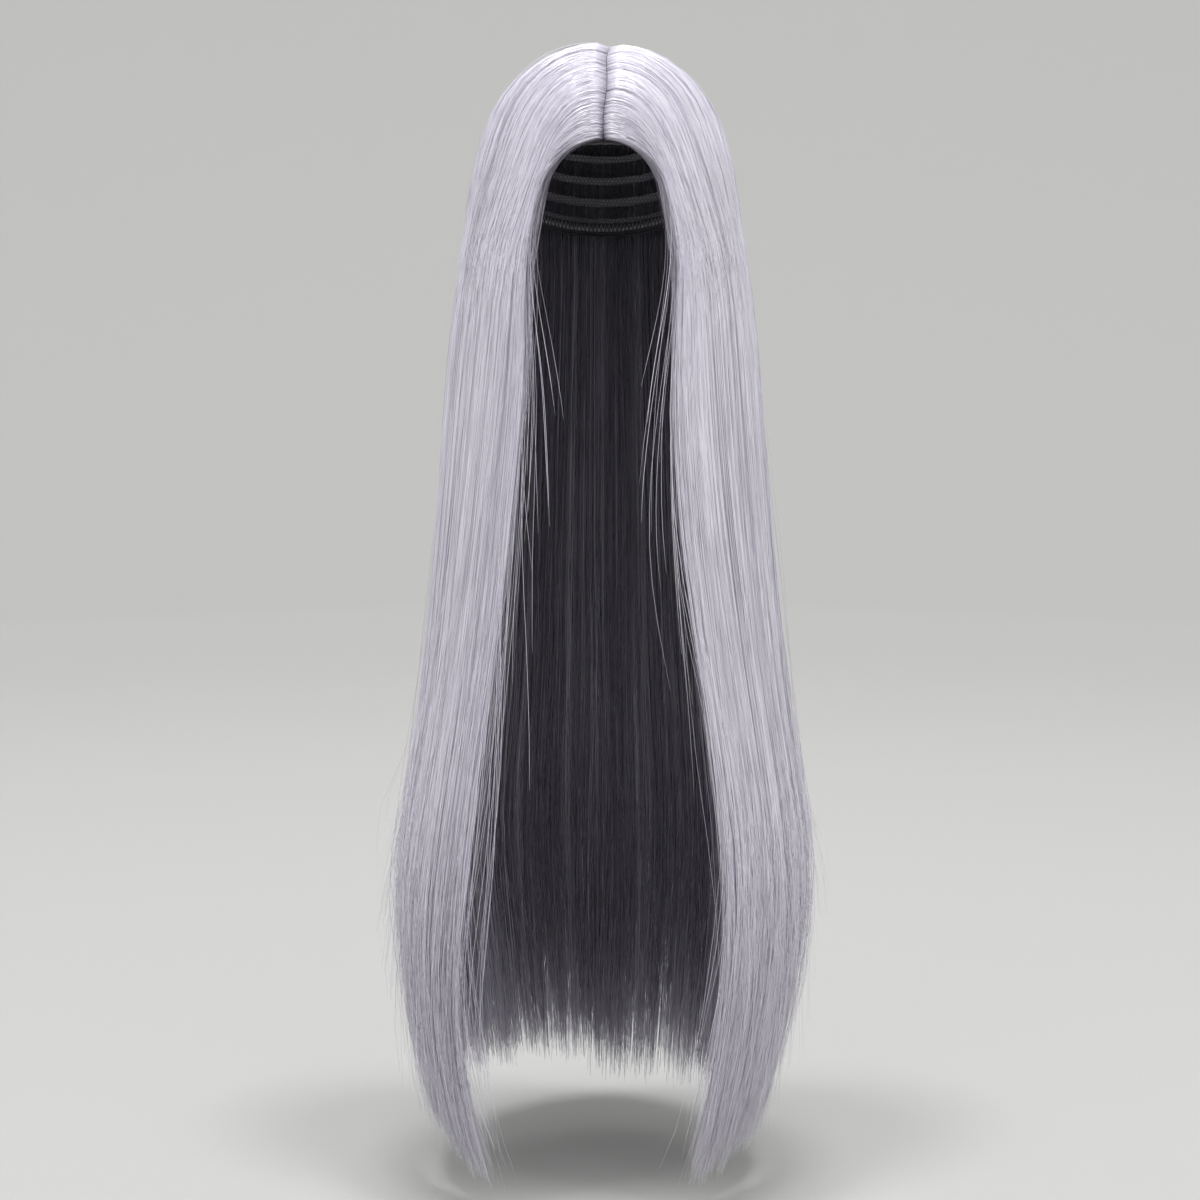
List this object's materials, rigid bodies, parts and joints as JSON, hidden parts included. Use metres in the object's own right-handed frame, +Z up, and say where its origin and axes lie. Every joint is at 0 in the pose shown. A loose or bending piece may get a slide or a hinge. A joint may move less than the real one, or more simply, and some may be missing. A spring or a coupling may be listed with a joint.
{
  "type": "doll wig",
  "caption": "Long straight pale lilac doll wig with a centre parting, sewn in rows on a stretch net cap, whose hanging locks swing out from the head.",
  "frame": {"origin": "centre of the doll's skull, inside the cap", "axes": "+Z up, -Y out of the face opening, +X to the wearer's left"},
  "size_m": [0.1226, 0.1099, 0.335],
  "materials": {
    "hair": "silky synthetic fibre",
    "net": "knitted stretch net",
    "elastic": "ribbed elastic band",
    "strip": "close woven strip",
    "stitching": "sewn fibre roots"
  },
  "bodies": {
    "cap": {"cap_net": "net", "edge_elastic": "elastic", "parting_strip": "strip", "crown_closure": "strip", "part_weft_left": "stitching", "part_weft_right": "stitching", "weft_track_1": "stitching", "weft_track_2": "stitching", "weft_track_3": "stitching", "weft_track_4": "stitching", "weft_track_5": "stitching", "weft_track_6": "stitching", "weft_track_7": "stitching", "crown_hair_left": "hair", "crown_hair_right": "hair", "crown_hair_back": "hair"},
    "front_left_lock": {"front_left_hair": "hair", "front_left_underlayer": "hair"},
    "front_right_lock": {"front_right_hair": "hair", "front_right_underlayer": "hair"},
    "side_left_lock": {"side_left_hair": "hair", "side_left_underlayer": "hair"},
    "side_right_lock": {"side_right_hair": "hair", "side_right_underlayer": "hair"},
    "back_curtain": {"back_hair": "hair", "back_underlayer": "hair", "nape_hair": "hair"}
  },
  "joints": [
    {"name": "front_left_sway", "type": "hinge", "parent": "cap", "child": "front_left_lock", "pos_m": [0.03384, -0.02114, -0.0083], "axis": [-0.5299, -0.848, 0], "range_deg": [0, 30]},
    {"name": "front_right_sway", "type": "hinge", "parent": "cap", "child": "front_right_lock", "pos_m": [-0.03384, -0.02114, -0.0083], "axis": [-0.5299, 0.848, 0], "range_deg": [0, 30]},
    {"name": "side_left_sway", "type": "hinge", "parent": "cap", "child": "side_left_lock", "pos_m": [0.03805, 0.012, -0.0083], "axis": [0.3007, -0.9537, 0], "range_deg": [0, 30]},
    {"name": "side_right_sway", "type": "hinge", "parent": "cap", "child": "side_right_lock", "pos_m": [-0.03805, 0.012, -0.0083], "axis": [0.3007, 0.9537, 0], "range_deg": [0, 30]},
    {"name": "back_sway", "type": "hinge", "parent": "cap", "child": "back_curtain", "pos_m": [0, 0.0399, -0.0083], "axis": [1, 0, 0], "range_deg": [0, 35]}
  ]
}
